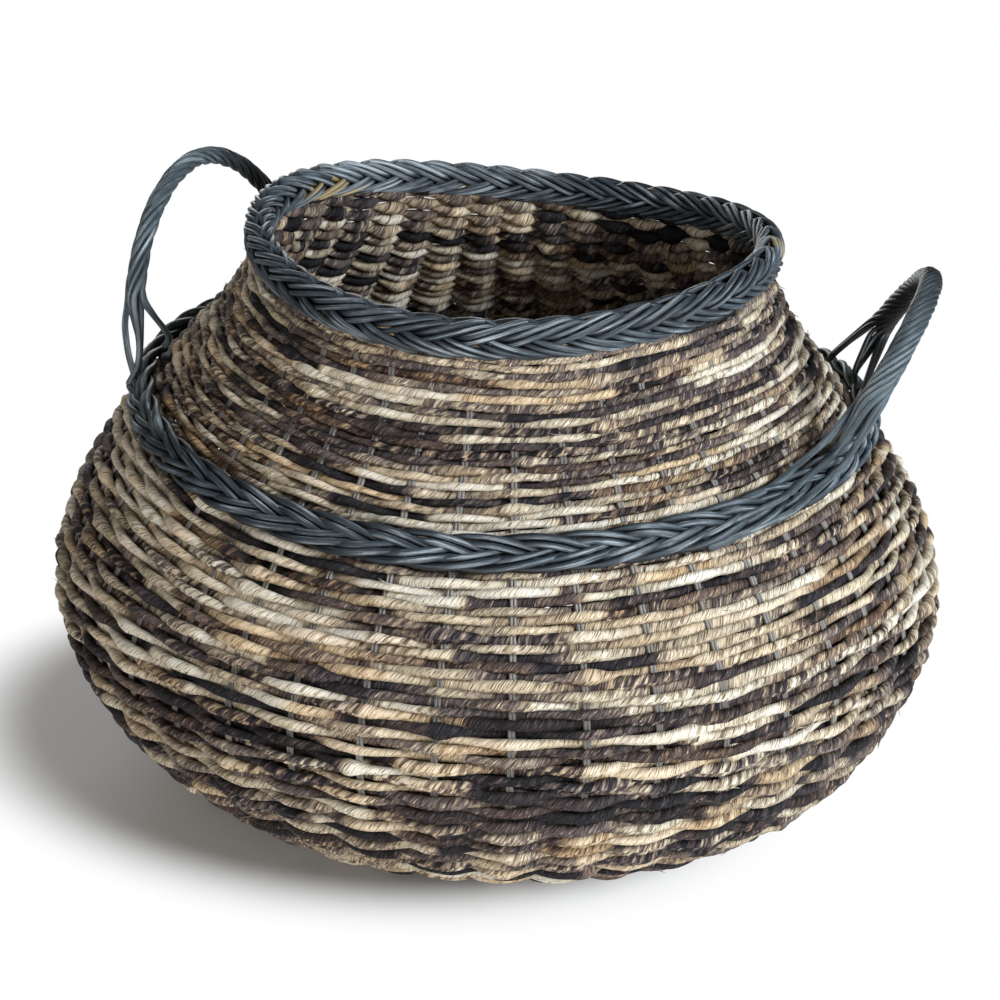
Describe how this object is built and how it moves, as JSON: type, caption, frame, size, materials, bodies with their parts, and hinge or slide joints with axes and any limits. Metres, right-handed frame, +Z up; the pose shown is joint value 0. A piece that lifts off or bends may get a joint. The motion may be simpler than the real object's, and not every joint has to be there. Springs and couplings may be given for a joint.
{
  "type": "round belly basket",
  "caption": "Round pot-bellied basket of twisted leaf cord woven over dark stakes, with a plaited rim and shoulder band and a twisted loop handle at each side, for storage.",
  "frame": {"origin": "on the floor, under the middle of the round base", "axes": "+Z up through the mouth, +X toward the right-hand handle, -Y toward the side seen in the picture"},
  "size_m": [0.5194, 0.5196, 0.3495],
  "materials": {
    "weave": "dry twisted leaf cord, cream to dark brown",
    "stake": "matt grey",
    "plait": "matt charcoal stain",
    "handle": "matt charcoal stain"
  },
  "bodies": {
    "root": {"outer_weave": "weave", "inner_weave": "weave", "base_heart": "stake", "stake_01": "stake", "stake_02": "stake", "stake_03": "stake", "stake_04": "stake", "stake_05": "stake", "stake_06": "stake", "stake_07": "stake", "stake_08": "stake", "stake_09": "stake", "stake_10": "stake", "stake_11": "stake", "stake_12": "stake", "stake_13": "stake", "stake_14": "stake", "stake_15": "stake", "stake_16": "stake", "stake_17": "stake", "stake_18": "stake", "stake_19": "stake", "stake_20": "stake", "stake_21": "stake", "stake_22": "stake", "stake_23": "stake", "stake_24": "stake", "stake_25": "stake", "stake_26": "stake", "stake_27": "stake", "stake_28": "stake", "stake_29": "stake", "stake_30": "stake", "stake_31": "stake", "stake_32": "stake", "stake_33": "stake", "stake_34": "stake", "stake_35": "stake", "stake_36": "stake", "stake_37": "stake", "stake_38": "stake", "stake_39": "stake", "stake_40": "stake", "stake_41": "stake", "stake_42": "stake", "stake_43": "stake", "rim_strand_1": "plait", "rim_strand_2": "plait", "rim_strand_3": "plait", "band_strand_1": "plait", "band_strand_2": "plait", "band_strand_3": "plait", "right_handle_strand_1": "handle", "right_handle_strand_2": "handle", "right_handle_strand_3": "handle", "left_handle_strand_1": "handle", "left_handle_strand_2": "handle", "left_handle_strand_3": "handle"}
  },
  "joints": []
}
